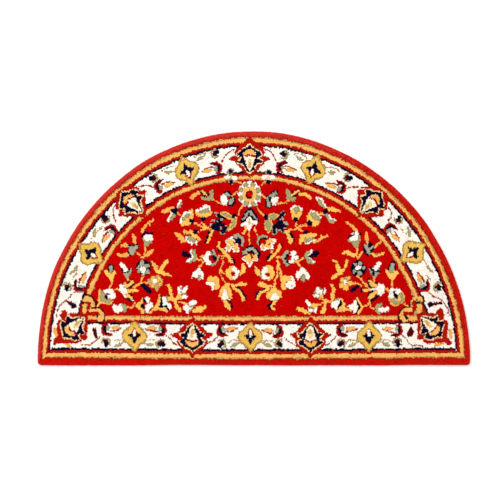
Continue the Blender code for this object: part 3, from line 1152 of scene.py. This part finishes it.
    (line, "orange", 5, 271, -22, 278, -13, 284, -7),
    (oval, "navy", 296, -2, 29, 33),
    (line, "grey", 8.5, 288, 8, 293, -2, 297, -13),
    (line, "grey", 6, 296, -3, 305, 3),
    (leaf, "orange", 290, 42, 293, 11, 11),
    (line, "orange", 6.5, 311, 3, 316, 10, 327, 15),
    (line, "amber", 7, 306, -15, 312, -20, 322, -17, 335, -13),
)


def paint(yarns, x, y, rows, place=(0, 0, 0), side=1):
    """Lays rows of shapes over the yarns chosen so far, turned and moved to their place, and turned
    over where the side is -1. A yarn named after a slash edges the shape."""
    move_x, move_y, turn = place
    u, v = turned(x - move_x, y - move_y, turn)
    for shape, yarn, *numbers in rows:
        fill, _, edge = yarn.partition("/")
        away = shape(side * u, v, *numbers) - SWELL.get(fill, 0)
        if edge:
            yarns[away < EDGE_LINE] = YARN_NAMES.index(edge)
        yarns[away < 0] = YARN_NAMES.index(fill)


def bands(x, y):
    """The band of each place, from the edge inwards, whether it follows the straight edge, and how
    far the place lies outside the rim's inner side, where the gold line begins.

    The depth from the edge is compared with the running sums of the bands' widths. Where the two
    sets of bands meet, a place goes to the set that it lies less deep in.
    """
    outline = rug_outline() / MM
    from_curve = from_run(x, y, outline[:CURVE_STEPS + 1])
    from_base = y - outline[:, 1].min()
    angle = np.degrees(np.arctan2(from_base, np.abs(x)))
    widths = np.stack([np.interp(angle, BAND_ANGLES, row[1:]) for row in CURVE_BANDS])
    for number, *wider in RIGHT_WIDER:
        widths[number] += np.where(x > PATTERN_AXIS, np.interp(angle, BAND_ANGLES, wider), 0)
    curve_ends = widths.cumsum(axis=0)
    base_ends = np.cumsum([width for _, width in BASE_BANDS])[:, None]
    on_base = from_base / base_ends[-1] < from_curve / curve_ends[-1]
    height = from_base - BASE_RISE * np.minimum(np.abs(x) / RISE_REACH, RISE_END) ** 2
    band = np.where(on_base, (height >= base_ends).sum(axis=0), (from_curve >= curve_ends).sum(axis=0))
    to_gold = np.where(on_base, base_ends[0] - height, curve_ends[0] - from_curve)
    return band, on_base, to_gold


def band_yarns(rows):
    """The numbers of the bands' yarns, from the edge inwards, with the field's at the end."""
    return np.array([YARN_NAMES.index(name) for name in (*(row[0] for row in rows), FIELD_YARN)])


def chart(x, y):
    """The yarn of each place, which is given in millimetres from the rug's middle.

    The bands come first, with two reds mixed into the rim by chance: the straight rim's red, which has
    none of the rounded rim's painted sheen, and brick red. The motifs are painted over them from the
    back to the front.
    """
    band, on_base, to_gold = bands(x, y)
    yarns = np.where(on_base, band_yarns(BASE_BANDS)[band], band_yarns(CURVE_BANDS)[band])
    # tufts of the rim that get the straight rim's red, without the painted sheen
    redder = np.clip((x - RED_FROM) / RED_REACH, 0, RED_MOST) > chance.random(len(x))
    yarns[(band == 0) & redder] = YARN_NAMES.index("base rim")
    streak = (band == 0) & (to_gold < RIM_STREAK) & (chance.random(len(x)) < RIM_DARKER)
    yarns[streak] = YARN_NAMES.index("brick")
    gold_line = ~on_base & np.isin(band, GOLD_LINE_BANDS) & (to_gold > -GOLD_KEPT)
    gold_line &= np.abs(x) > SIDES_FROM
    line_yarns = yarns[gold_line]
    paint(yarns, x, y, LEFT_SPRAYS)
    paint(yarns, x, y, RIGHT_SPRAYS)
    paint(yarns, x, y, BORDER_VINES)
    paint(yarns, x, y, CORNER_SCROLLS)
    for motif, *place, side in SMALL_PLACES:
        paint(yarns, x, y, motif, place, side)
    for place in ARM_PLACES:
        paint(yarns, x, y, PALMETTE_ARMS, place)
    for middle_x, middle_y, turn, rise in PALMETTE_PLACES:
        paint(yarns, x, y, PALMETTE_BACK, (middle_x, middle_y, turn))
        way = np.radians(turn)
        petals = (middle_x - rise * np.sin(way), middle_y + rise * np.cos(way), turn)
        paint(yarns, x, y, PALMETTE, petals)
    for place in STAR_PLACES:
        paint(yarns, x, y, GOLD_STAR, place)
    for place in STAR_PLACES[:CURVE_STARS]:
        paint(yarns, x, y, STAR_WINGS, place)
    yarns[gold_line] = line_yarns
    paint(yarns, x, y, TOP_KNOTS)
    paint(yarns, x, y, ROSETTE)
    paint(yarns, x, y, MIDDLE_FLOWERS)
    return yarns


def in_scene(name, data):
    """An object at the origin that holds the data, linked into the scene."""
    made = bpy.data.objects.new(name, data)
    bpy.context.scene.collection.objects.link(made)
    return made


# The pile

def slow_waves(x, y, shortest, longest, count=18):
    """A smooth chance field between about -1 and 1: a sum of straight waves in all directions."""
    length = chance.uniform(shortest, longest, count)
    heading = chance.uniform(0, 2 * pi, count)
    phase = chance.uniform(0, 2 * pi, count)
    steps = np.outer(x, np.cos(heading)) + np.outer(y, np.sin(heading))
    return np.sin(2 * pi * steps / length + phase).sum(axis=1) / np.sqrt(count)


def tuft_grid(outline):
    """Rows of tufts, every second row moved by half a step, each tuft a little off its place."""
    row = TUFT_PITCH * np.sqrt(3) / 2
    low, high = outline.min(axis=0) - GRID_MARGIN, outline.max(axis=0) + GRID_MARGIN
    x, y = np.meshgrid(np.arange(low[0], high[0], TUFT_PITCH), np.arange(low[1], high[1], row))
    x[1::2] += TUFT_PITCH / 2
    places = np.stack([x, y], axis=2)
    return places + chance.normal(0, TUFT_STRAY, places.shape)


def groove_shade(yarns):
    """How light each tuft of the grid looks, as painted shade: a yarn's colour is darker by the share
    of its six neighbours that are lighter than itself, standing for the shade where sheared pile dips
    between two yarns; the tufts themselves don't dip."""
    light = DYES_WITH_RIM_SHEEN.mean(axis=1)[yarns]
    odd = np.arange(len(light))[:, None] % 2 == 1
    beside = [np.roll(light, 1, axis=1), np.roll(light, -1, axis=1)]
    for row in (np.roll(light, 1, axis=0), np.roll(light, -1, axis=0)):
        beside += [row, np.where(odd, np.roll(row, -1, axis=1), np.roll(row, 1, axis=1))]
    return 1 - GROOVE_SHADE * (np.array(beside) > light + LIGHTER).mean(axis=0)


def to_outline(places, outline):
    """For each place: its depth inside the outline, and the nearest place on the outline, with the
    outward direction there."""
    start = outline
    step = np.roll(outline, -1, axis=0) - outline
    away = places[:, None, :] - start
    share = np.clip((away * step).sum(axis=2) / (step ** 2).sum(axis=1), 0, 1)
    gap = away - share[:, :, None] * step
    distance = np.hypot(gap[:, :, 0], gap[:, :, 1])
    nearest = distance.argmin(axis=1)
    rows = np.arange(len(places))
    normal = outward_blend(outline, nearest, share[rows, nearest])
    depth = -np.sign((gap[rows, nearest] * normal).sum(axis=1)) * distance[rows, nearest]
    foot = start[nearest] + share[rows, nearest][:, None] * step[nearest]
    return depth, normal, foot


def outward_blend(outline, nearest, share):
    """The outward normal between two outline points, mixed by the share of the way between them."""
    here = outward(outline)
    after = np.roll(here, -1, axis=0)
    mixed = here[nearest] * (1 - share)[:, None] + after[nearest] * share[:, None]
    return mixed / np.linalg.norm(mixed, axis=1)[:, None]


def pile_tips(places):
    """Where the tufts end: level over the mat, and rolled over its edge down to the backing.

    A place near the outline is taken as a length along the edge profile, so the rows keep their
    pitch as they turn down over the side. It gives which places are kept, the tips, and the way
    that each tuft faces.
    """
    outline = rug_outline()
    profile = np.array(EDGE_PROFILE)
    run = np.concatenate([[0], np.hypot(*np.diff(profile, axis=0).T).cumsum()])
    level_inset = profile[0, 0]
    lots = [to_outline(lot, outline) for lot in np.array_split(places, LOTS)]
    depth, normal, foot = (np.concatenate(part) for part in zip(*lots))
    along = level_inset - depth
    kept = along < run[-1]
    places, normal, foot, along = places[kept], normal[kept], foot[kept], along[kept]
    rolled = along > 0
    inset = np.interp(along, run, profile[:, 0])
    height = np.interp(along, run, profile[:, 1])
    ahead = np.interp(along + PROFILE_STEP, run, profile[:, 0]) - inset
    below = np.interp(along + PROFILE_STEP, run, profile[:, 1]) - height
    facing = np.column_stack([-below[:, None] * normal, -ahead])
    facing[~rolled] = (0, 0, 1)
    facing /= np.linalg.norm(facing, axis=1)[:, None] + TINY
    flat = np.where(rolled[:, None], foot - normal * inset[:, None], places)
    tips = np.column_stack([flat, np.where(rolled, height, THICKNESS)])
    return kept, tips, facing


def tuft_corners(tips, facing):
    """The eight corners of every tuft: its tip, a ring at its widest part, and its foot.

    The tip lies on the pile's top or, by chance, a little under it. The ring is a circle of the
    bloom radius square to the tuft, each corner a little nearer or farther. The foot lies one tuft
    length below the tip, or where the backing stops it.
    """
    count = len(tips)
    lean = chance.normal(0, TUFT_LEAN, (count, 3))
    stem = facing + lean
    stem /= np.linalg.norm(stem, axis=1)[:, None]
    across = np.cross(stem, np.roll(stem, 1, axis=1) + SKEW)
    across /= np.linalg.norm(across, axis=1)[:, None]
    other = np.cross(stem, across)
    turn = chance.uniform(0, 2 * pi, count)[:, None] + np.arange(TUFT_SIDES) * 2 * pi / TUFT_SIDES
    radius = TUFT_BLOOM * TUFT_PITCH * chance.uniform(*BLOOM_SHARES, (count, TUFT_SIDES))
    rise = np.clip(chance.normal(0, TIP_RISE, count), LOWEST_TIP * TIP_RISE, HIGHEST_TIP * TIP_RISE)
    top = tips + facing * (rise - HIGHEST_TIP * TIP_RISE)[:, None]
    below = TUFT_DROP * chance.uniform(*DROP_SHARES, (count, TUFT_SIDES))
    ring = (
        top[:, None, :]
        - stem[:, None, :] * below[:, :, None]
        + across[:, None, :] * (radius * np.cos(turn))[:, :, None]
        + other[:, None, :] * (radius * np.sin(turn))[:, :, None]
    )
    foot = top - stem * TUFT_LENGTH
    foot[:, 2] = np.maximum(foot[:, 2], BACKING_THICKNESS * ROOT_SHARE)
    return np.concatenate([top[:, None, :], ring, foot[:, None, :]], axis=1)


def tuft_faces(count):
    """Triangles from the tip to the ring, and from the ring to the foot, all facing outwards."""
    side = np.arange(TUFT_SIDES)
    after = (side + 1) % TUFT_SIDES
    tip, foot = 0, TUFT_SIDES + 1
    upper = np.column_stack([np.full(TUFT_SIDES, tip), side + 1, after + 1])
    lower = np.column_stack([np.full(TUFT_SIDES, foot), after + 1, side + 1])
    one = np.vstack([upper, lower])
    return (one + (np.arange(count) * (TUFT_SIDES + 2))[:, None, None]).reshape(-1, 3)


def tuft_map(count):
    """The yarn map: each tuft has a square of its own, with its upper faces as a six-sided flower
    round the middle and its lower faces as the points of a star round that."""
    per_row = int(np.ceil(np.sqrt(count)))
    cell = 1.0 / per_row
    number = np.arange(count)
    middle = (np.column_stack([number % per_row, number // per_row]) + 0.5) * cell
    angle = np.arange(TUFT_SIDES) * 2 * pi / TUFT_SIDES
    between = angle + pi / TUFT_SIDES
    ring = MAP_RING * np.column_stack([np.cos(angle), np.sin(angle)])
    point = MAP_POINT * np.column_stack([np.cos(between), np.sin(between)])
    after = np.roll(ring, -1, axis=0)
    upper = np.stack([np.zeros_like(ring), ring, after], axis=1)
    lower = np.stack([point, after, ring], axis=1)
    one = np.concatenate([upper, lower]).reshape(-1, 2)
    return (middle[:, None, :] + one * cell).reshape(-1, 2)


def yarn_colours(x, y, yarns):
    """The colour of each tuft: its yarn's, which on the rounded rim holds painted sheen, a few per
    cent lighter or darker by chance, and with slow patches as a hand-dyed batch shows them."""
    patches = sum(share * slow_waves(x, y, *waves) for share, *waves in DYE_PATCHES)
    tone = 1 + patches + chance.normal(0, DYE_CHANCE, len(x))
    return DYES_WITH_RIM_SHEEN[yarns] * tone[:, None]


def tuft_piece(name, corners, colours):
    """One joined mesh of closed tufts, with their yarn colours, darkened by painted shade from each tip
    to its foot, and the yarn map.
    """
    count = len(corners)
    mesh = bpy.data.meshes.new(name)
    vertices = corners.reshape(-1, 3)
    faces = tuft_faces(count)
    mesh.vertices.add(len(vertices))
    mesh.vertices.foreach_set("co", vertices.ravel())
    mesh.loops.add(faces.size)
    mesh.loops.foreach_set("vertex_index", faces.ravel())
    mesh.polygons.add(len(faces))
    mesh.polygons.foreach_set("loop_start", np.arange(0, faces.size, 3))
    # painted shade: each tuft's colour darkens from its tip through its ring down to its foot
    shade = np.array([TIP_LIGHT] + [RING_LIGHT] * TUFT_SIDES + [FOOT_LIGHT])
    shaded_tints = colours[:, None, :] * shade[:, None]
    shaded_tints = np.concatenate([shaded_tints, np.ones((*shaded_tints.shape[:2], 1))], axis=2)
    # the yarn attribute carries each tuft's colour with the painted shade multiplied in
    dyed = mesh.attributes.new("yarn", "FLOAT_COLOR", "POINT")
    dyed.data.foreach_set("color", shaded_tints.ravel())
    unfolded = mesh.uv_layers.new(name="OFBake")
    unfolded.uv.foreach_set("vector", tuft_map(count).ravel())
    mesh.update()
    mesh.validate()
    mesh.shade_smooth()
    return in_scene(name, mesh)


# Materials
FIBRE_SCALE = 1400.0
FIBRE_RELIEF = 0.0004
THREAD_SCALE = 120.0
THREAD_RELIEF = 0.0006
COTTON_SHADE = (0.42, 0.34, 0.22, 1)
COTTON = (0.70, 0.61, 0.45, 1)


def node(tree, kind, place, numbers=(), **settings):
    """A node at its place in the tree, with its settings and the numbers of its sockets."""
    made = tree.nodes.new(kind)
    made.location = place
    for name, value in settings.items():
        setattr(made, name, value)
    for name, value in dict(numbers).items():
        made.inputs[name].default_value = value
    return made


def fresh_material(name):
    """A new material, its node tree and its shader."""
    material = bpy.data.materials.new(name)
    material.use_nodes = True
    return material, material.node_tree, material.node_tree.nodes["Principled BSDF"]


def wool_pile():
    """Cut wool: the yarn's colour with the painted shade that it carries, streaked by its fibres, matt,
    with a little fuzz.
    """
    material, tree, shader = fresh_material("cut_wool_pile")
    link = tree.links.new
    yarn = node(tree, "ShaderNodeAttribute", (-900, 200), attribute_name="yarn")
    where = node(tree, "ShaderNodeTexCoord", (-1300, -100))
    noise = {"Scale": FIBRE_SCALE, "Detail": 2.0, "Roughness": 0.6}
    fibres = node(tree, "ShaderNodeTexNoise", (-1100, -100), noise)
    spread = {"From Min": 0.3, "From Max": 0.7, "To Min": 0.88, "To Max": 1.12}
    streaks = node(tree, "ShaderNodeMapRange", (-900, -100), spread)
    colour = node(tree, "ShaderNodeVectorMath", (-600, 100), operation="SCALE")
    rough = node(tree, "ShaderNodeMapRange", (-600, -200), {"To Min": 0.86, "To Max": 1.0})
    relief = node(tree, "ShaderNodeBump", (-300, -300), {"Strength": 0.6, "Distance": FIBRE_RELIEF})
    link(where.outputs["Object"], fibres.inputs["Vector"])
    link(fibres.outputs["Fac"], streaks.inputs["Value"])
    link(yarn.outputs["Color"], colour.inputs[0])
    link(streaks.outputs["Result"], colour.inputs["Scale"])
    link(colour.outputs["Vector"], shader.inputs["Base Color"])
    link(fibres.outputs["Fac"], rough.inputs["Value"])
    link(rough.outputs["Result"], shader.inputs["Roughness"])
    link(fibres.outputs["Fac"], relief.inputs["Height"])
    link(relief.outputs["Normal"], shader.inputs["Normal"])
    shader.inputs["Specular IOR Level"].default_value = 0.0
    return material


def backing_cloth():
    """Cotton scrim: two sets of threads crossing, as waves along both directions of the cloth."""
    material, tree, shader = fresh_material("cotton_backing")
    link = tree.links.new
    where = node(tree, "ShaderNodeTexCoord", (-1300, 0))
    threads = {"Scale": THREAD_SCALE, "Distortion": 0.6, "Detail": 1.0}
    warp = node(tree, "ShaderNodeTexWave", (-1000, 200), threads, bands_direction="X")
    weft = node(tree, "ShaderNodeTexWave", (-1000, -100), threads, bands_direction="Y")
    weave = node(tree, "ShaderNodeMath", (-700, 50), operation="MAXIMUM")
    shades = {"A": COTTON_SHADE, "B": COTTON}
    tint = node(tree, "ShaderNodeMix", (-400, 150), shades, data_type="RGBA")
    relief = node(tree, "ShaderNodeBump", (-300, -200), {"Strength": 0.7, "Distance": THREAD_RELIEF})
    link(where.outputs["Object"], warp.inputs["Vector"])
    link(where.outputs["Object"], weft.inputs["Vector"])
    link(warp.outputs["Fac"], weave.inputs[0])
    link(weft.outputs["Fac"], weave.inputs[1])
    link(weave.outputs["Value"], tint.inputs["Factor"])
    link(tint.outputs["Result"], shader.inputs["Base Color"])
    link(weave.outputs["Value"], relief.inputs["Height"])
    link(relief.outputs["Normal"], shader.inputs["Normal"])
    shader.inputs["Roughness"].default_value = 0.92
    shader.inputs["Specular IOR Level"].default_value = 0.2
    return material


# Pieces

def backing():
    """A thin slab inside the outline: a lower and an upper ring, closed by a face on each side."""
    outline = rug_outline()
    ring = outline - outward(outline) * BACKING_INSET
    count = len(ring)
    low = np.column_stack([ring, np.zeros(count)])
    high = np.column_stack([ring, np.full(count, BACKING_THICKNESS)])
    side = np.arange(count)
    after = (side + 1) % count
    walls = np.column_stack([side, after, after + count, side + count])
    faces = [*walls.tolist(), side[::-1].tolist(), (side + count).tolist()]
    mesh = bpy.data.meshes.new("backing")
    mesh.from_pydata(np.vstack([low, high]).tolist(), [], faces)
    mesh.materials.append(backing_cloth())
    mesh.update()
    return in_scene("backing", mesh)


def zone_names(x, y):
    """The piece of each tuft: the red edge, the outer bands, the ivory border along the curve or
    along the straight edge, the inner bands, or the upper or lower field."""
    band, on_base, _ = bands(x, y)
    names = np.full(len(x), "pile_field_upper", dtype=object)
    names[y < FIELD_SPLIT] = "pile_field_lower"
    names[band < len(BASE_BANDS)] = "pile_inner_bands"
    names[(band == IVORY_BAND) & ~on_base] = "pile_ivory_curve"
    names[(band == IVORY_BAND) & on_base] = "pile_ivory_base"
    names[band < IVORY_BAND] = "pile_outer_bands"
    names[band == 0] = "pile_red_edge"
    return names


def strayed(place, x, y):
    """One side of the places, moved as a hand moves them: by a slow wander, a quick one and a
    chance step."""
    slow = CHART_STRAY * slow_waves(x, y, *CHART_WAVES)
    quick = ROW_STRAY * slow_waves(x, y, *ROW_WAVES)
    return place + slow + quick + chance.normal(0, ROW_STRAY, len(x))


def pile_pieces():
    """The tufts, each with the yarn that the chart has a little beside it, as one piece a zone."""
    grid = tuft_grid(rug_outline())
    places = grid.reshape(-1, 2)
    x, y = places.T / MM
    yarns = chart(strayed(x, x, y), strayed(y, x, y))
    # painted shade: tufts beside lighter yarns are darkened, as if in a groove between yarns
    shade = groove_shade(yarns.reshape(grid.shape[:2])).ravel()
    kept, tips, facing = pile_tips(places)
    x, y = x[kept], y[kept]
    corners = tuft_corners(tips, facing)
    colours = yarn_colours(x, y, yarns[kept]) * shade[kept, None]
    zones = zone_names(x, y)
    material = wool_pile()
    pieces = []
    for name in sorted(set(zones)):
        here = zones == name
        piece = tuft_piece(name, corners[here], colours[here])
        piece.data.materials.append(material)
        pieces.append(piece)
    return pieces


# Floor, light and camera
FLOOR_HALF = 4.0
FLOOR_POINTS = 9
FLOOR_DROP = 0.0004  # the floor lies this far below the rug
FLOOR_COLOUR = (0.88, 0.88, 0.88, 1)
KEY_PLACE = (-0.9, 1.1, 3.4)
KEY_SIZE = 2.4
KEY_POWER = 102.0
SKY_STRENGTH = 0.75
CAMERA_PLACE = (-0.0075, -0.0067, 3.068)
LENS = 85.0
SENSOR = 36.0


def floor():
    """A level square of evenly spaced points."""
    steps = np.linspace(-FLOOR_HALF, FLOOR_HALF, FLOOR_POINTS)
    x, y = np.meshgrid(steps, steps)
    places = np.column_stack([x.ravel(), y.ravel(), np.full(x.size, -FLOOR_DROP)])
    cells = np.arange(FLOOR_POINTS - 1)
    first = (cells[:, None] * FLOOR_POINTS + cells).ravel()
    faces = np.column_stack([first, first + 1, first + FLOOR_POINTS + 1, first + FLOOR_POINTS])
    mesh = bpy.data.meshes.new("floor")
    mesh.from_pydata(places.tolist(), [], faces.tolist())
    material, _, shader = fresh_material("pale_floor")
    shader.inputs["Base Color"].default_value = FLOOR_COLOUR
    shader.inputs["Roughness"].default_value = 0.9
    shader.inputs["Specular IOR Level"].default_value = 0.1
    mesh.materials.append(material)
    return in_scene("floor", mesh)


def softbox(name, place, size, power):
    """A square lamp that faces the middle of the rug."""
    lamp = bpy.data.lights.new(name, "AREA")
    lamp.shape = "SQUARE"
    lamp.size = size
    lamp.energy = power
    x, y, z = place
    made = in_scene(name, lamp)
    made.location = place
    made.rotation_euler = (np.arctan2(np.hypot(x, y), z), 0, np.arctan2(x, -y))


def sky():
    """Even white light from all around."""
    world = bpy.data.worlds.new("studio")
    world.use_nodes = True
    light = world.node_tree.nodes["Background"]
    light.inputs["Color"].default_value = (1, 1, 1, 1)
    light.inputs["Strength"].default_value = SKY_STRENGTH
    bpy.context.scene.world = world


def camera():
    """A camera that looks straight down on the rug."""
    lens = bpy.data.cameras.new("camera")
    lens.lens = LENS
    lens.sensor_width = SENSOR
    made = in_scene("camera", lens)
    made.location = CAMERA_PLACE
    bpy.context.scene.camera = made


def studio():
    """The floor, the light and the camera."""
    floor()
    softbox("key_light", KEY_PLACE, KEY_SIZE, KEY_POWER)
    sky()
    bpy.context.scene.view_settings.view_transform = "Standard"
    camera()


def cut_area():
    """The flat area inside the outline: half the sum of the cross products of its corners."""
    x, y = rug_outline().T
    return 0.5 * abs(np.sum(x * np.roll(y, -1) - np.roll(x, -1) * y))


cloth = backing()
pile = pile_pieces()
for piece in (cloth, *pile):
    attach(piece, "root")
    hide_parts("rug")
float(cut_area())
studio()
